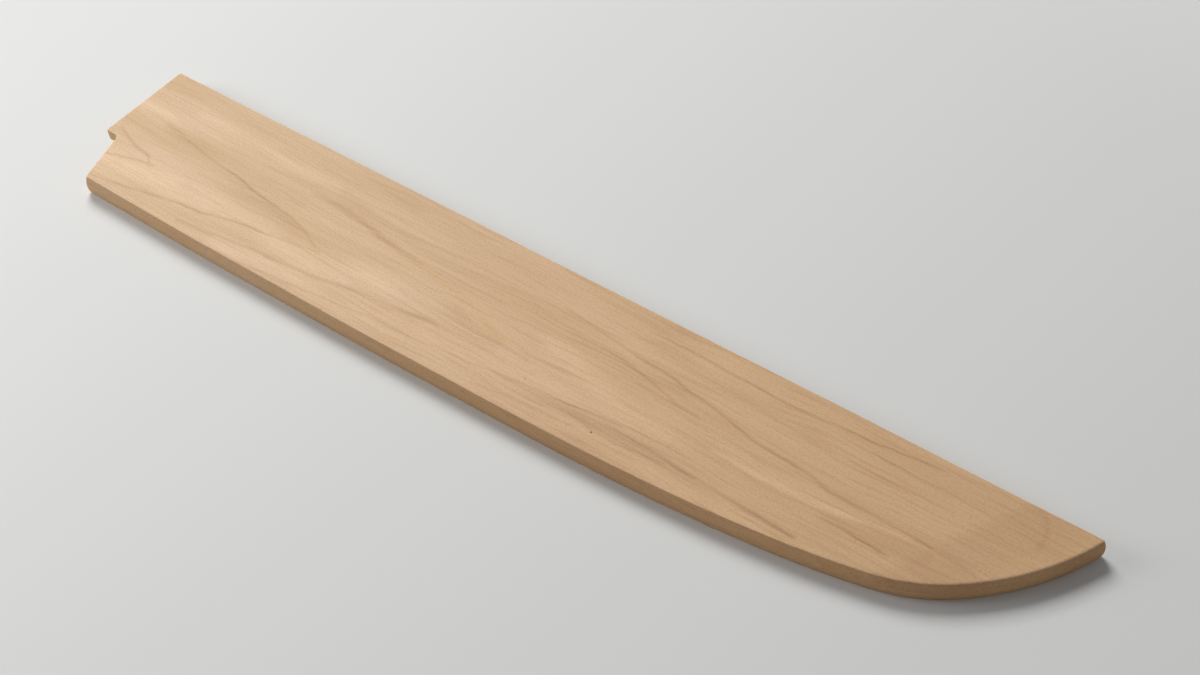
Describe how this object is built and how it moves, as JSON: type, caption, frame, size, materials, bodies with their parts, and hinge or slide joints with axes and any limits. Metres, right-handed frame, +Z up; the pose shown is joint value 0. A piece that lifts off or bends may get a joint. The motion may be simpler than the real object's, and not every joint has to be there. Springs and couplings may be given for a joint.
{
  "type": "knife blade guard",
  "caption": "Wooden sheath for a long slicing knife: two thin boards glued over a core of strips that leaves a flat blade slot, open at the notched mouth.",
  "frame": {"origin": "on the underside, below the middle of the sheath's bounding box", "axes": "+X from the mouth to the nose, +Y towards the spine side, +Z up through the thickness"},
  "size_m": [0.2998, 0.0504, 0.0062],
  "materials": {
    "board_wood": "bare, fine-sanded",
    "core_wood": "bare, fine-sanded"
  },
  "bodies": {
    "root": {"front_board": "board_wood", "back_board": "board_wood", "spine_strip": "core_wood", "edge_strip": "core_wood", "nose_strip": "core_wood"}
  },
  "joints": []
}
